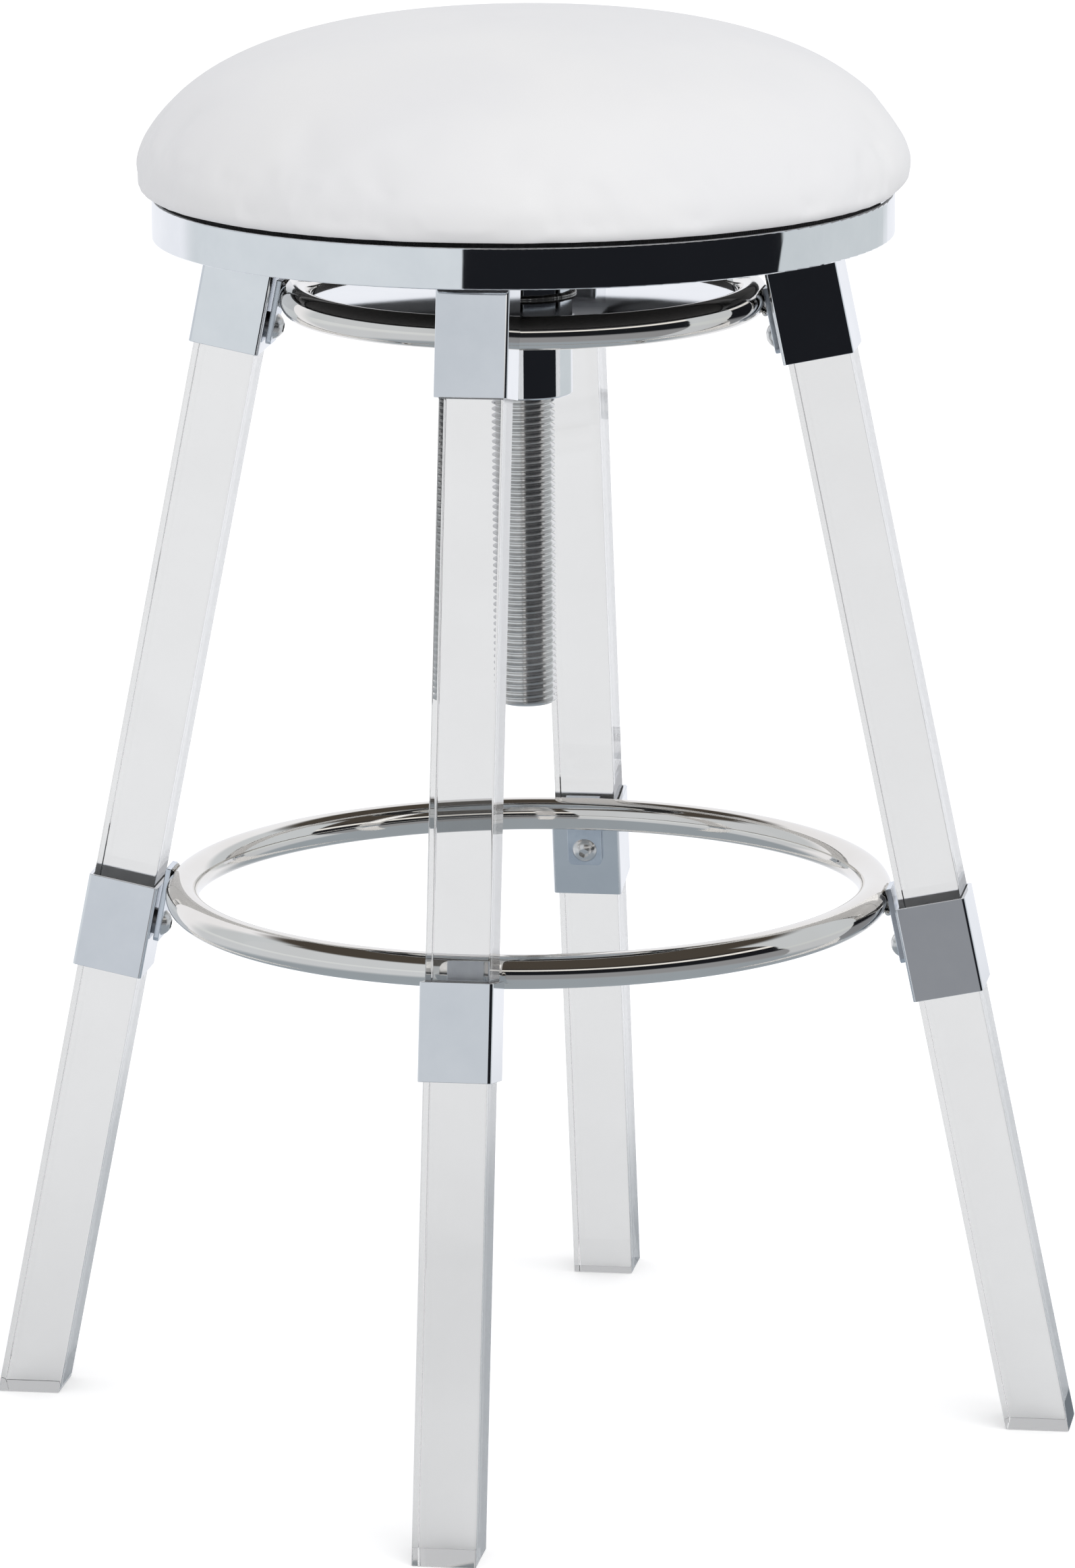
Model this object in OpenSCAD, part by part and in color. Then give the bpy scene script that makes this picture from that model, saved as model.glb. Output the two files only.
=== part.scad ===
// Height-adjustable swivel stool: four clear square legs in chrome sleeves, a foot ring,
// a deck with a threaded hub, and a round upholstered seat carried on a lifting screw.
// +Z is up and the floor is Z = 0. The legs stand on the X and Y axes, front leg towards -Y.

/* [Legs] */
// Side of each square leg
leg_w = 33.5; // [26:0.5:42]
// Rounding of the legs' long edges
leg_edge_r = 1; // [0.5:0.1:2]
// Lean of each leg from the vertical, in degrees
splay = 11.5; // [8:0.5:14]
// From the stool's axis to a foot's outer face at the floor
foot_r = 293.5; // [245:0.5:350]
// Height of the legs' top corners above the floor
leg_top_z = 640; // [540:1:760]

/* [Sleeves] */
// Gap between a leg and its sleeve, each side
leg_gap = 0.3; // [0.2:0.05:0.5]
// Wall of the square sleeve tube
sleeve_t = 2; // [1.5:0.1:3]
// Outside rounding of the sleeve's long edges
sleeve_edge_r = 1.8; // [1:0.1:2.5]
// Length of the upper sleeves
upper_sleeve_len = 58; // [54:0.5:75]
// Length of the lower sleeves
lower_sleeve_len = 51; // [46:0.5:70]

/* [Rings] */
// Diameter of the foot ring's tube
foot_tube_d = 18; // [14:0.5:22]
// Height of the foot ring's centre line
foot_ring_z = 286; // [230:1:345]
// Diameter of the deck ring's tube
deck_tube_d = 17.5; // [14:0.5:22]
// From the legs' top corners down to the deck ring's centre line
deck_drop = 33; // [30:0.5:36]
// Thickness of the round plate that fills the deck ring
deck_t = 4; // [3:0.5:6]

/* [Tabs and screws] */
// Width of the tab plates that hang from the rings
tab_w = 19; // [16:0.5:24]
// Thickness of the tab plates
tab_t = 3; // [2.5:0.5:4]
// Rounding of the tabs' free corners
tab_corner_r = 3; // [1.5:0.5:5]
// From the line where a ring touches its tab up to the tab's top edge
tab_rise = 5.8; // [5.5:0.1:9]
// Radius of the weld bead above each touch line
top_bead_r = 0.7; // [0.5:0.1:1]
// Radius of the weld bead below each touch line
bead_r = 1.5; // [1:0.1:1.8]
// Length of the weld beads
bead_len = 14; // [8:0.5:15]
// From the touch line down to the foot ring's screws, along the leg
foot_screw_drop = 26.5; // [24:0.5:29]
// From the touch line down to the deck ring's screws, along the leg
deck_screw_drop = 20.5; // [19.5:0.5:24]
// From a screw's centre down to its tab's free edge
tab_end = 9; // [7.5:0.5:12]
// Diameter of the tab screws' shank
screw_d = 8; // [6:0.5:9]
// Diameter of the tab screws' button head
head_d = 14; // [11:0.5:16]
// Height of the button head
head_h = 4.4; // [3:0.1:5]
// Width across the flats of the hexagon socket
socket_af = 5; // [4:0.5:6]
// Outside diameter of the threaded inserts' barrel
insert_d = 11; // [10:0.5:12.5]
// Diameter of the inserts' flange
insert_flange_d = 14; // [13.5:0.5:16]
// Thickness of the inserts' flange
insert_flange_t = 1; // [0.8:0.1:1.5]
// Length of the inserts' barrel below the flange
insert_len = 14; // [11:0.5:17]

/* [Hub and lifting screw] */
// Wall of the hub
hub_wall = 6; // [4:0.5:7]
// Wall of the nut between the hub's bore and the screw
nut_wall = 3.42; // [2.8:0.02:4.2]
// Chamfer of the hub's lower edge
hub_chamfer = 0.8; // [0.4:0.1:1.5]
// From the deck ring's centre line down to the hub's lower end
hub_below = 51.5; // [35:0.5:70]
// Length of the nut pressed into the hub
nut_len = 55; // [40:1:66]
// Outside diameter of the lifting screw
lift_d = 31.8; // [28:0.2:33]
// Pitch of the lifting screw's thread
pitch = 3.5; // [3:0.25:4]
// Length of the lifting screw below its plate
lift_len = 253; // [225:1:305]
// Length of plain shank under the screw's plate
shank_len = 9; // [7.5:0.5:12]
// Radial clearance between the screw and what it turns in
turn_gap = 0.08; // [0.02:0.01:0.1]
// Thickness of the thrust washer between hub and seat
washer_t = 3; // [2:0.5:4]
// How far the thrust washer's edge stays inside the hub's
washer_inset = 1.4; // [0.5:0.1:2]
// Thickness of the retaining clip under the washer
clip_t = 1.5; // [1:0.25:2]

/* [Seat frame] */
// Outside diameter of the chrome hoop
hoop_d = 391; // [326:1:470]
// Height of the hoop
hoop_h = 21.4; // [18:0.2:26]
// Wall of the hoop
hoop_t = 2.5; // [2:0.5:4]
// Clear height between the leg tops and the hoop at the lowest setting
seat_gap = 1.2; // [1:0.1:6]
// From the hoop's lower edge up to the seat spider
spider_inset = 5.8; // [5.4:0.1:7]
// Thickness of the seat spider
spider_t = 3; // [2:0.5:4]
// Width of the spider's four arms
arm_w = 32; // [24:1:40]
// Diameter of the spider's centre
spider_d = 120; // [110:1:150]
// Diameter of the screw's plate
plate_d = 92; // [88:1:106]
// Thickness of the screw's plate
plate_t = 5; // [4:0.5:6]
// Diameter of the circle of plate bolts
bolt_circle_d = 72; // [70:0.5:76]
// Diameter of the plate bolts
bolt_d = 6; // [5:0.5:7]
// Gap around a screw or bolt in its clearance hole
hole_gap = 0.3; // [0.2:0.05:0.5]

/* [Seat pad] */
// Gap between the hoop and the seat board's cloth
board_gap = 5; // [3:0.5:8]
// Thickness of the seat board
board_t = 14; // [12:0.5:18]
// Thickness of the black under-cloth
cloth_t = 0.8; // [0.5:0.1:1.2]
// Diameter of the cushion at its widest
pad_d = 408; // [395:1:490]
// Height of the cushion's widest line above its underside
pad_skirt = 15.5; // [14:0.5:20]
// Height of the cushion's crown above its widest line
pad_crown = 75.5; // [60:0.5:92]
// Rounding of the cushion's lower edge
pad_edge_r = 12; // [8:0.5:14]
// Thickness of the cushion's cover
cover_t = 1.5; // [1:0.1:2]

/* [Hidden] */
$fn = 64;
FRONT = -90;
RIGHT = 0;
BACK = 90;
LEFT = 180;
HEADINGS = [FRONT, RIGHT, BACK, LEFT];
CUT = 1; // how far a cutting shape runs past the face it cuts

chrome = [0.82, 0.83, 0.85];
zinc = [0.72, 0.73, 0.76];
steel = [0.55, 0.56, 0.58];

// legs and sleeves, in the leg's own frame: x outward, z up along the leg
leg_axis_r = foot_r - leg_w / 2 / cos(splay);
sleeve_in = leg_w + 2 * leg_gap;
sleeve_w = sleeve_in + 2 * sleeve_t;
upper_top_s = (leg_top_z - sleeve_w / 2 * sin(splay)) / cos(splay);
upper_low_s = upper_top_s - upper_sleeve_len;
tab_out_x = -sleeve_w / 2 - insert_flange_t;
tab_in_x = tab_out_x - tab_t;

// rings: each ring touches the inner faces of its four tabs
deck_z = leg_top_z - deck_drop;
foot_ring_x = tab_in_x - foot_tube_d / 2;
deck_ring_x = tab_in_x - deck_tube_d / 2;
foot_ring_r = leg_axis_r + foot_ring_x / cos(splay) - foot_ring_z * tan(splay);
deck_ring_r = leg_axis_r + deck_ring_x / cos(splay) - deck_z * tan(splay);
foot_touch_s = (foot_ring_z - foot_ring_x * sin(splay)) / cos(splay);
deck_touch_s = (deck_z - deck_ring_x * sin(splay)) / cos(splay);
foot_screw_s = foot_touch_s - foot_screw_drop;
deck_screw_s = deck_touch_s - deck_screw_drop;
lower_low_s = foot_screw_s - lower_sleeve_len * 0.56;

// seat stack, from the leg tops upward
hoop_z = leg_top_z + seat_gap;
hoop_r = hoop_d / 2;
spider_z = hoop_z + spider_inset;
plate_z = spider_z - plate_t;
washer_z = plate_z - washer_t;
hub_top_z = washer_z;
hub_low_z = deck_z - hub_below;
nut_z = hub_low_z + 2;
board_z = spider_z + spider_t + cloth_t;
board_r = hoop_r - hoop_t - board_gap - cloth_t;
pad_z = board_z + board_t;
lift_r = lift_d / 2;
hub_bore_r = lift_r + turn_gap + nut_wall;
hub_r = hub_bore_r + hub_wall;
groove = 0.6134 * pitch;
clip_groove = 1.2;
clip_d = lift_d + 6;
pocket_depth = clip_t + 1.5;
bolt_head_h = 4;
bolt_head_d = 1.8 * bolt_d;
wood_screw_d = 4;
wood_screw_r = board_r * 0.8;

// square with rounded corners
module soft_square(w, r) {
    square([w - 2 * r, w], center = true);
    square([w, w - 2 * r], center = true);
    for (x = [-1, 1], y = [-1, 1])
        translate([x * (w / 2 - r), y * (w / 2 - r)]) circle(r, $fn = 24);
}

// puts its children in the frame of the leg at this heading
module on_leg(heading) {
    rotate([0, 0, heading]) translate([leg_axis_r, 0, 0]) rotate([0, -splay, 0]) children();
}

// rod along the leg's inward direction, from x = start to x = end at height s on the leg
module inward_rod(s, start, end, r) {
    translate([end, 0, s]) rotate([0, 90, 0]) cylinder(h = start - end, r = r);
}

module torus(ring_r, tube_d) {
    rotate_extrude($fn = 128) translate([ring_r, 0]) circle(tube_d / 2, $fn = 48);
}

module leg(heading) {
    pocket_end = -sleeve_w / 2 + insert_len + 1;
    color([0.9, 0.94, 0.96, 0.4]) intersection() {
        on_leg(heading) difference() {
            translate([0, 0, -leg_w]) linear_extrude(upper_top_s + leg_w) soft_square(leg_w, leg_edge_r);
            for (s = [foot_screw_s, deck_screw_s])
                inward_rod(s, pocket_end, -leg_w / 2 - CUT, insert_d / 2 + leg_gap);
        }
        translate([-2 * foot_r, -2 * foot_r, 0]) cube([4 * foot_r, 4 * foot_r, 2 * leg_top_z]);
    }
}

module sleeve(heading, low_s, len, screw_s) {
    color(chrome) on_leg(heading) difference() {
        translate([0, 0, low_s]) linear_extrude(len) difference() {
            soft_square(sleeve_w, sleeve_edge_r);
            soft_square(sleeve_in, 0.6);
        }
        inward_rod(screw_s, 0, -sleeve_w, insert_d / 2 + leg_gap / 3);
    }
}

module tab(heading, touch_s, screw_s) {
    low = screw_s - tab_end;
    color(chrome) on_leg(heading) difference() {
        translate([tab_in_x, 0, 0]) rotate([90, 0, 90]) linear_extrude(tab_t) {
            translate([-tab_w / 2, low + tab_corner_r]) square([tab_w, touch_s + tab_rise - low - tab_corner_r]);
            translate([-tab_w / 2 + tab_corner_r, low]) square([tab_w - 2 * tab_corner_r, 2 * tab_corner_r]);
            for (y = [-1, 1])
                translate([y * (tab_w / 2 - tab_corner_r), low + tab_corner_r]) circle(tab_corner_r);
        }
        inward_rod(screw_s, tab_out_x + CUT, tab_in_x - CUT, screw_d / 2 + hole_gap);
    }
}

// four threaded inserts: flange between sleeve and tab, barrel through the sleeve into the leg
module inserts(screw_s) {
    color(steel) for (heading = HEADINGS) on_leg(heading) difference() {
        union() {
            inward_rod(screw_s, -sleeve_w / 2, tab_out_x, insert_flange_d / 2);
            inward_rod(screw_s, -sleeve_w / 2 + insert_len, -sleeve_w / 2 - insert_flange_t / 2, insert_d / 2);
        }
        inward_rod(screw_s, leg_w, tab_out_x - CUT, screw_d / 2 + 0.05);
    }
}

// four button-head screws with hexagon sockets
module tab_screws(screw_s) {
    dome_r = (pow(head_d / 2, 2) + pow(head_h, 2)) / 2 / head_h;
    color(chrome) for (heading = HEADINGS) on_leg(heading) translate([tab_in_x, 0, screw_s]) rotate([0, -90, 0])
        difference() {
            union() {
                intersection() {
                    translate([0, 0, head_h - dome_r]) sphere(dome_r);
                    cylinder(h = head_h * 0.93, r = head_d / 2 - 0.05);
                }
                translate([0, 0, -tab_t - insert_len]) cylinder(h = tab_t + insert_len + 1, r = screw_d / 2);
            }
            translate([0, 0, head_h * 0.35]) cylinder(h = head_h, r = socket_af / sqrt(3), $fn = 6);
        }
}

// beads above and below each touch line, lying against both the ring and the tab
module welds(tube_d, touch_s) {
    color(chrome) for (heading = HEADINGS, side = [[-1, bead_r], [1, top_bead_r]]) on_leg(heading)
        translate([tab_in_x - side[1], bead_len / 2, touch_s + side[0] * 2 * sqrt(tube_d / 2 * side[1])])
            rotate([90, 0, 0]) cylinder(h = bead_len, r = side[1]);
}

module foot_ring() {
    color(chrome) translate([0, 0, foot_ring_z]) torus(foot_ring_r, foot_tube_d);
}

module deck_ring() {
    color(chrome) translate([0, 0, deck_z]) torus(deck_ring_r, deck_tube_d);
}

module deck_plate() {
    color(chrome) difference() {
        translate([0, 0, deck_z - deck_t / 2]) cylinder(h = deck_t, r = deck_ring_r, $fn = 128);
        translate([0, 0, deck_z]) torus(deck_ring_r, deck_tube_d);
        translate([0, 0, hub_low_z]) cylinder(h = hub_top_z, r = hub_r);
    }
}

module hub() {
    color(chrome) difference() {
        union() {
            translate([0, 0, hub_low_z]) cylinder(h = hub_chamfer, r1 = hub_r - hub_chamfer, r2 = hub_r);
            translate([0, 0, hub_low_z + hub_chamfer])
                cylinder(h = hub_top_z - hub_low_z - hub_chamfer, r = hub_r);
        }
        translate([0, 0, hub_low_z - CUT]) cylinder(h = hub_top_z, r = hub_bore_r);
        translate([0, 0, hub_top_z - pocket_depth]) cylinder(h = hub_top_z, r = clip_d / 2 + 1);
    }
}

module hub_weld() {
    bead = 3;
    color(chrome) translate([0, 0, deck_z + deck_t / 2]) rotate_extrude()
        translate([hub_r, 0]) polygon([[0, 0], [bead, 0], [bead * 0.4, bead * 0.4], [0, bead]]);
}

module hub_nut() {
    color(steel) translate([0, 0, nut_z]) difference() {
        cylinder(h = nut_len, r = hub_bore_r);
        translate([0, 0, -CUT]) cylinder(h = nut_len + 2 * CUT, r = lift_r + turn_gap);
    }
}

module thrust_washer() {
    color([0.92, 0.92, 0.88]) translate([0, 0, washer_z]) difference() {
        cylinder(h = washer_t, r = hub_r - washer_inset);
        translate([0, 0, -CUT]) cylinder(h = washer_t + 2 * CUT, r = lift_r + turn_gap);
    }
}

// The thread's ridges are rings of the right pitch and depth; the seat's joints supply the screw motion.
module lift_screw() {
    low = plate_z - lift_len;
    thread_top = plate_z - shank_len;
    turns = floor((thread_top - low - pitch) / pitch);
    flank = 3 / 8 * pitch - pitch / 16;
    crest = pitch / 8;
    root_r = lift_r - groove;
    ridge = [for (i = [0:turns - 1]) let (z = thread_top - i * pitch) each [
        [lift_r, z], [root_r, z - flank], [root_r, z - pitch + flank + crest], [lift_r, z - pitch + crest]]];
    clip_z = washer_z - clip_t;
    color(zinc) difference() {
        rotate_extrude() polygon(concat(
            [[0, low], [root_r - 1, low], [root_r, low + 1]],
            [for (i = [len(ridge) - 1:-1:0]) ridge[i]],
            [[lift_r, plate_z], [0, plate_z]]));
        translate([0, 0, clip_z - turn_gap]) difference() {
            cylinder(h = clip_t + turn_gap, r = lift_r + CUT);
            translate([0, 0, -CUT]) cylinder(h = clip_t + 3 * CUT, r = lift_r - clip_groove);
        }
    }
}

module screw_clip() {
    opening = 8;
    color(steel) translate([0, 0, washer_z - clip_t]) difference() {
        cylinder(h = clip_t - turn_gap, r = clip_d / 2);
        translate([0, 0, -CUT]) cylinder(h = clip_t + 2 * CUT, r = lift_r - clip_groove + turn_gap);
        translate([0, -opening / 2, -CUT]) cube([clip_d, opening, clip_t + 2 * CUT]);
    }
}

// its children at each plate bolt
module at_bolts() {
    for (a = [45:90:315]) rotate([0, 0, a]) translate([bolt_circle_d / 2, 0, 0]) children();
}

module screw_plate() {
    color(steel) difference() {
        translate([0, 0, plate_z]) cylinder(h = plate_t, r = plate_d / 2);
        at_bolts() translate([0, 0, plate_z - CUT]) cylinder(h = plate_t + 2 * CUT, r = bolt_d / 2 + hole_gap);
    }
}

module plate_bolts() {
    length = plate_t + spider_t + cloth_t + board_t - 3;
    color(steel) at_bolts() translate([0, 0, plate_z]) {
        translate([0, 0, -bolt_head_h]) cylinder(h = bolt_head_h, r = bolt_head_d / 2, $fn = 6);
        cylinder(h = length, r = bolt_d / 2);
    }
}

// its children at each wood screw, on the spider's arms
module at_wood_screws() {
    for (a = HEADINGS) rotate([0, 0, a]) translate([wood_screw_r, 0, 0]) children();
}

module seat_spider() {
    reach = sqrt(pow(hoop_r - hoop_t, 2) - pow(arm_w / 2, 2));
    color(steel) translate([0, 0, spider_z]) difference() {
        union() {
            cylinder(h = spider_t, r = spider_d / 2);
            for (a = [0, 90]) rotate([0, 0, a]) translate([-reach, -arm_w / 2, 0]) cube([2 * reach, arm_w, spider_t]);
        }
        at_bolts() translate([0, 0, -CUT]) cylinder(h = spider_t + 2 * CUT, r = bolt_d / 2 + hole_gap);
        at_wood_screws() translate([0, 0, -CUT]) cylinder(h = spider_t + 2 * CUT, r = wood_screw_d / 2 + hole_gap);
    }
}

module seat_hoop() {
    r = hoop_t * 0.3;
    color(chrome) translate([0, 0, hoop_z]) rotate_extrude($fn = 180) translate([hoop_r - hoop_t, 0]) {
        translate([r, 0]) square([hoop_t - 2 * r, hoop_h]);
        translate([0, r]) square([hoop_t, hoop_h - 2 * r]);
        for (x = [r, hoop_t - r], y = [r, hoop_h - r]) translate([x, y]) circle(r, $fn = 24);
    }
}

module board_screws() {
    head = wood_screw_d;
    color(steel) at_wood_screws() translate([0, 0, spider_z]) {
        translate([0, 0, -head / 2]) cylinder(h = head / 2, r = head);
        cylinder(h = spider_t + board_t * 0.8, r = wood_screw_d / 2);
    }
}

module seat_board() {
    color("burlywood") difference() {
        translate([0, 0, board_z]) cylinder(h = board_t, r = board_r, $fn = 128);
        at_bolts() translate([0, 0, board_z - CUT]) cylinder(h = board_t - 2 + CUT, r = bolt_d / 2 + hole_gap);
        at_wood_screws() translate([0, 0, board_z - CUT])
            cylinder(h = board_t * 0.8 + CUT, r = wood_screw_d / 2 + 0.05);
    }
}

// black cloth drawn over the board's underside and side
module under_cloth() {
    color([0.05, 0.05, 0.05]) difference() {
        translate([0, 0, board_z - cloth_t]) cylinder(h = board_t + cloth_t, r = board_r + cloth_t, $fn = 128);
        translate([0, 0, board_z]) cylinder(h = board_t + CUT, r = board_r, $fn = 128);
        at_bolts() translate([0, 0, board_z - cloth_t - CUT])
            cylinder(h = cloth_t + 2 * CUT, r = bolt_d / 2 + hole_gap);
        at_wood_screws() translate([0, 0, board_z - cloth_t - CUT])
            cylinder(h = cloth_t + 2 * CUT, r = wood_screw_d / 2 + hole_gap);
    }
}

// The cushion's half section, drawn in by the distance shrink. The crown is a superellipse.
module pad_section(shrink) {
    r = pad_d / 2 - shrink;
    crown = pad_crown - shrink;
    edge_r = pad_edge_r - shrink;
    steps = 28;
    polygon(concat(
        [[0, 0]],
        [for (a = [0:9:81]) [r - edge_r + edge_r * sin(a), edge_r - edge_r * cos(a)]],
        [for (i = [0:steps]) let (a = 90 * i / steps)
            [r * pow(cos(a), 0.72), pad_skirt + crown * pow(sin(a), 1.3)]]));
}

module seat_foam() {
    color([0.95, 0.92, 0.7]) translate([0, 0, pad_z]) rotate_extrude($fn = 128) intersection() {
        pad_section(cover_t);
        square([pad_d, pad_d]);
    }
}

module seat_cover() {
    color([0.95, 0.95, 0.95]) translate([0, 0, pad_z]) rotate_extrude($fn = 128) difference() {
        pad_section(0);
        pad_section(cover_t);
    }
}

leg(FRONT);  // leg_front
leg(RIGHT);  // leg_right
leg(BACK);  // leg_back
leg(LEFT);  // leg_left
sleeve(FRONT, upper_low_s, upper_sleeve_len, deck_screw_s);  // upper_sleeve_front
sleeve(RIGHT, upper_low_s, upper_sleeve_len, deck_screw_s);  // upper_sleeve_right
sleeve(BACK, upper_low_s, upper_sleeve_len, deck_screw_s);  // upper_sleeve_back
sleeve(LEFT, upper_low_s, upper_sleeve_len, deck_screw_s);  // upper_sleeve_left
sleeve(FRONT, lower_low_s, lower_sleeve_len, foot_screw_s);  // lower_sleeve_front
sleeve(RIGHT, lower_low_s, lower_sleeve_len, foot_screw_s);  // lower_sleeve_right
sleeve(BACK, lower_low_s, lower_sleeve_len, foot_screw_s);  // lower_sleeve_back
sleeve(LEFT, lower_low_s, lower_sleeve_len, foot_screw_s);  // lower_sleeve_left
tab(FRONT, foot_touch_s, foot_screw_s);  // foot_tab_front
tab(RIGHT, foot_touch_s, foot_screw_s);  // foot_tab_right
tab(BACK, foot_touch_s, foot_screw_s);  // foot_tab_back
tab(LEFT, foot_touch_s, foot_screw_s);  // foot_tab_left
tab(FRONT, deck_touch_s, deck_screw_s);  // deck_tab_front
tab(RIGHT, deck_touch_s, deck_screw_s);  // deck_tab_right
tab(BACK, deck_touch_s, deck_screw_s);  // deck_tab_back
tab(LEFT, deck_touch_s, deck_screw_s);  // deck_tab_left
inserts(foot_screw_s);  // foot_inserts
inserts(deck_screw_s);  // deck_inserts
tab_screws(foot_screw_s);  // foot_screws
tab_screws(deck_screw_s);  // deck_screws
foot_ring();
welds(foot_tube_d, foot_touch_s);  // foot_welds
deck_ring();
welds(deck_tube_d, deck_touch_s);  // deck_welds
deck_plate();
hub();
hub_weld();
hub_nut();
thrust_washer();
lift_screw();
screw_clip();
screw_plate();
plate_bolts();
seat_spider();
seat_hoop();
board_screws();
seat_board();
under_cloth();
seat_foam();
seat_cover();
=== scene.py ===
import bpy
import bmesh
import math
from mathutils import Matrix, Vector


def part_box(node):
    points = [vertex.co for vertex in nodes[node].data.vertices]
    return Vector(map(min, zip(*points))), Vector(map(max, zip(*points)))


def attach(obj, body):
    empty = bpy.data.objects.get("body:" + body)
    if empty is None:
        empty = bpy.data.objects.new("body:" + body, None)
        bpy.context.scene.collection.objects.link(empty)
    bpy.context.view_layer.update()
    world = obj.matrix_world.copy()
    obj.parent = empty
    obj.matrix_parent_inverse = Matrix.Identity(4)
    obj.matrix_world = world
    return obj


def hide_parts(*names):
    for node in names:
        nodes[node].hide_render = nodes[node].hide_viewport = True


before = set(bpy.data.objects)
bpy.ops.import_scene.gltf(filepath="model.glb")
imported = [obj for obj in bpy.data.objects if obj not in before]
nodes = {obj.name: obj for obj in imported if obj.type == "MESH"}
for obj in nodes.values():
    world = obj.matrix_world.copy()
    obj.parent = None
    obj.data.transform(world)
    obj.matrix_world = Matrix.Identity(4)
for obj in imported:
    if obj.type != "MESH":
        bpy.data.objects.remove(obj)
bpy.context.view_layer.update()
scene = bpy.context.scene
mm = 0.001
print("frame loaded:", len(nodes), "nodes")

headings = {"front": -90, "right": 0, "back": 90, "left": 180}


# node trees written as plain arithmetic

class Wire:
    # one output socket; sums and products of it add Math nodes to its own tree
    def __init__(self, bench, socket):
        self.bench, self.socket = bench, socket

    def calc(self, operation, first, second=0.0):
        return self.bench.add("ShaderNodeMath", {"operation": operation}, {0: first, 1: second})

    def __add__(self, other):
        return self.calc("ADD", self, other)

    def __sub__(self, other):
        return self.calc("SUBTRACT", self, other)

    def __rsub__(self, other):
        return self.calc("SUBTRACT", other, self)

    def __mul__(self, other):
        return self.calc("MULTIPLY", self, other)

    def __truediv__(self, other):
        return self.calc("DIVIDE", self, other)

    def __mod__(self, other):
        return self.calc("FLOORED_MODULO", self, other)

    __radd__ = __add__
    __rmul__ = __mul__


class Bench:
    # a node tree with one method that adds any node to it
    def __init__(self, tree):
        self.tree = tree

    def add(self, kind, settings=None, sockets=None, output=0):
        node = self.tree.nodes.new(kind)
        for name, value in (settings or {}).items():
            if name == "stops":
                ramp = node.color_ramp
                while len(ramp.elements) < len(value):
                    ramp.elements.new(1.0)
                for element, (place, shade) in zip(ramp.elements, value):
                    element.position, element.color = place, shade
            else:
                setattr(node, name, value)
        for key, value in (sockets or {}).items():
            if isinstance(value, Wire):
                self.tree.links.new(value.socket, node.inputs[key])
            else:
                node.inputs[key].default_value = value
        return Wire(self, node.outputs[output])

    def many(self, kind, settings, sockets, *outputs):
        # the same, for a node whose outputs are all wanted
        first = self.add(kind, settings, sockets)
        node = first.socket.node
        return [Wire(self, node.outputs[name]) for name in outputs]


class Finish(Bench):
    # a surface material around one Principled shader
    def __init__(self, name, **constants):
        self.material = bpy.data.materials.new(name)
        self.material.use_nodes = True
        super().__init__(self.material.node_tree)
        self.shader = self.tree.nodes["Principled BSDF"]
        for key, value in constants.items():
            self.shader.inputs[key.replace("_", " ")].default_value = value
        self.place = self.add("ShaderNodeTexCoord", output="Object")

    def noise(self, scale, detail=2.0, roughness=0.5, place=None, distortion=0.0):
        return self.add("ShaderNodeTexNoise", None, {
            "Vector": place or self.place, "Scale": scale, "Detail": detail,
            "Roughness": roughness, "Distortion": distortion})

    def stretched(self, scale):
        return self.add("ShaderNodeMapping", None, {"Vector": self.place, "Scale": scale})

    def between(self, factor, low, high):
        # low where factor is 0 and high where it is 1
        return self.add("ShaderNodeMapRange", None, {
            "Value": factor, "To Min": low, "To Max": high})

    def ramp(self, factor, *stops):
        solid = [(place, (*shade, 1.0)) for place, shade in stops]
        return self.add("ShaderNodeValToRGB", {"stops": solid}, {0: factor})

    def bump(self, height, strength, distance):
        return self.add("ShaderNodeBump", None, {
            "Height": height, "Strength": strength, "Distance": distance})

    def feed(self, **links):
        for key, value in links.items():
            self.tree.links.new(value.socket, self.shader.inputs[key.replace("_", " ")])
        return self.material


# finishes

def makePlateChrome():
    # bright chrome on flat plates: faint polishing haze and a very slight waviness
    f = Finish("plateChrome", Metallic=1.0)
    haze = f.noise(35.0, 4.0, 0.6)
    wave = f.noise(9.0, 1.0)
    return f.feed(
        Base_Color=f.ramp(haze, (0.3, (0.80, 0.815, 0.835)), (0.7, (0.86, 0.87, 0.885))),
        Roughness=f.between(haze, 0.015, 0.06),
        Normal=f.bump(wave, 0.15, 0.0006))


def makeTubeChrome():
    # chrome over drawn tube: a warmer nickel cast and fine draw lines round the ring
    f = Finish("tubeChrome", Metallic=1.0)
    cast = f.noise(14.0, 3.0, 0.6)
    fine = f.noise(60.0, 2.0)
    return f.feed(
        Base_Color=f.ramp(cast, (0.3, (0.81, 0.775, 0.73)), (0.7, (0.87, 0.845, 0.805))),
        Roughness=f.between(cast, 0.03, 0.07),
        Normal=f.bump(fine, 0.05, 0.0001))


def makeScrewZinc():
    f = Finish("screwZinc", Metallic=1.0)
    cast = f.noise(60.0, 4.0, 0.65)
    return f.feed(
        Base_Color=f.ramp(cast, (0.3, (0.68, 0.675, 0.665)), (0.7, (0.82, 0.81, 0.795))),
        Roughness=f.between(cast, 0.15, 0.27),
        Normal=f.bump(f.noise(900.0, 2.0), 0.06, 0.00004))


def makeTabPlate():
    # blued zinc on the small bolted plates
    f = Finish("tabPlate", Metallic=1.0)
    cast = f.noise(70.0, 4.0, 0.65)
    return f.feed(
        Base_Color=f.ramp(cast, (0.3, (0.66, 0.70, 0.76)), (0.7, (0.80, 0.84, 0.89))),
        Roughness=f.between(cast, 0.14, 0.3),
        Normal=f.bump(f.noise(30.0, 2.0), 0.08, 0.0002))


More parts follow.
